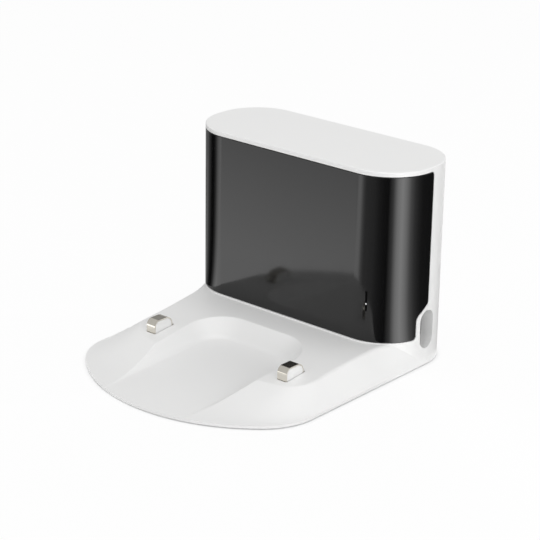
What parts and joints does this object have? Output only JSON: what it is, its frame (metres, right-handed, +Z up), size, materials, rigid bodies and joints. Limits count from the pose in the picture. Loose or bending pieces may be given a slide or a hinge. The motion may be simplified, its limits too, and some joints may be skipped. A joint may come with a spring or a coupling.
{
  "type": "robot vacuum charging dock",
  "caption": "Low floor dock with sloped arms round a caster recess, sprung charging contacts, and a tower with a smoked wrap-round window and a cable bay behind a pull-off cover.",
  "frame": {"origin": "centre of the footprint at floor level, under the feet", "axes": "+X to the right seen from the robot, -Y towards the robot, +Y towards the wall, +Z up"},
  "size_m": [0.13, 0.151, 0.098],
  "materials": {
    "white_plastic": "fine satin white",
    "smoked_window": "polished smoked black",
    "grey_plastic": "fine satin off-white",
    "foot_rubber": "matt grey rubber",
    "screw_steel": "plain zinc",
    "contact_plate": "polished warm nickel",
    "spring_steel": "bright drawn wire",
    "black_plastic": "matt black",
    "terminal_brass": "plain brass strip",
    "lead_black": "soft insulation",
    "lead_red": "soft insulation",
    "board_green": "solder mask",
    "transformer_yellow": "wrapped tape over ferrite",
    "can_black": "shrink sleeve",
    "choke_copper": "enamelled winding",
    "fuse_ceramic": "plain ceramic",
    "sink_aluminium": "plain sheet",
    "header_plastic": "natural nylon",
    "pin_nickel": "bright nickel",
    "emitter_lens": "tinted clear resin",
    "led_white": "diffuse resin",
    "guide_clear": "clear resin",
    "link_ribbon": "flat grey insulation"
  },
  "bodies": {
    "dock": {"main_housing": "white_plastic", "window_panel": "smoked_window", "bottom_plate": "grey_plastic", "plate_screws": "screw_steel", "foot_front_left": "foot_rubber", "foot_front_right": "foot_rubber", "foot_rear_left": "foot_rubber", "foot_rear_right": "foot_rubber", "contact_spring_left": "spring_steel", "contact_spring_right": "spring_steel", "contact_carrier_left": "black_plastic", "contact_carrier_right": "black_plastic", "contact_terminal_left": "terminal_brass", "contact_terminal_right": "terminal_brass", "contact_lead_left": "lead_black", "contact_lead_right": "lead_red", "power_board": "board_green", "board_screws": "screw_steel", "transformer": "transformer_yellow", "bulk_capacitor": "can_black", "output_capacitor": "can_black", "line_choke": "choke_copper", "mains_fuse": "fuse_ceramic", "rectifier": "black_plastic", "heat_sink": "sink_aluminium", "lead_header": "header_plastic", "mains_inlet": "black_plastic", "inlet_pins": "pin_nickel", "beacon_board": "board_green", "beacon_screws": "screw_steel", "beacon_emitter_left": "emitter_lens", "beacon_emitter_centre": "emitter_lens", "beacon_emitter_right": "emitter_lens", "status_led": "led_white", "light_guide": "guide_clear", "board_link": "link_ribbon"},
    "left_contact": {"contact_left": "contact_plate", "contact_plunger_left": "white_plastic"},
    "right_contact": {"contact_right": "contact_plate", "contact_plunger_right": "white_plastic"},
    "cover": {"rear_cover": "white_plastic"}
  },
  "joints": [
    {"name": "contact_left_press", "type": "slide", "parent": "dock", "child": "left_contact", "axis": [0, 0, -1], "range_m": [0, 0.0028], "stiffness_N_per_m": 300, "springref_m": -0.004, "deforming": ["contact_spring_left"]},
    {"name": "contact_right_press", "type": "slide", "parent": "dock", "child": "right_contact", "axis": [0, 0, -1], "range_m": [0, 0.0028], "stiffness_N_per_m": 300, "springref_m": -0.004, "deforming": ["contact_spring_right"]},
    {"name": "rear_cover_pull", "type": "slide", "parent": "dock", "child": "cover", "axis": [0, 1, 0], "range_m": [0, 0.03]}
  ]
}
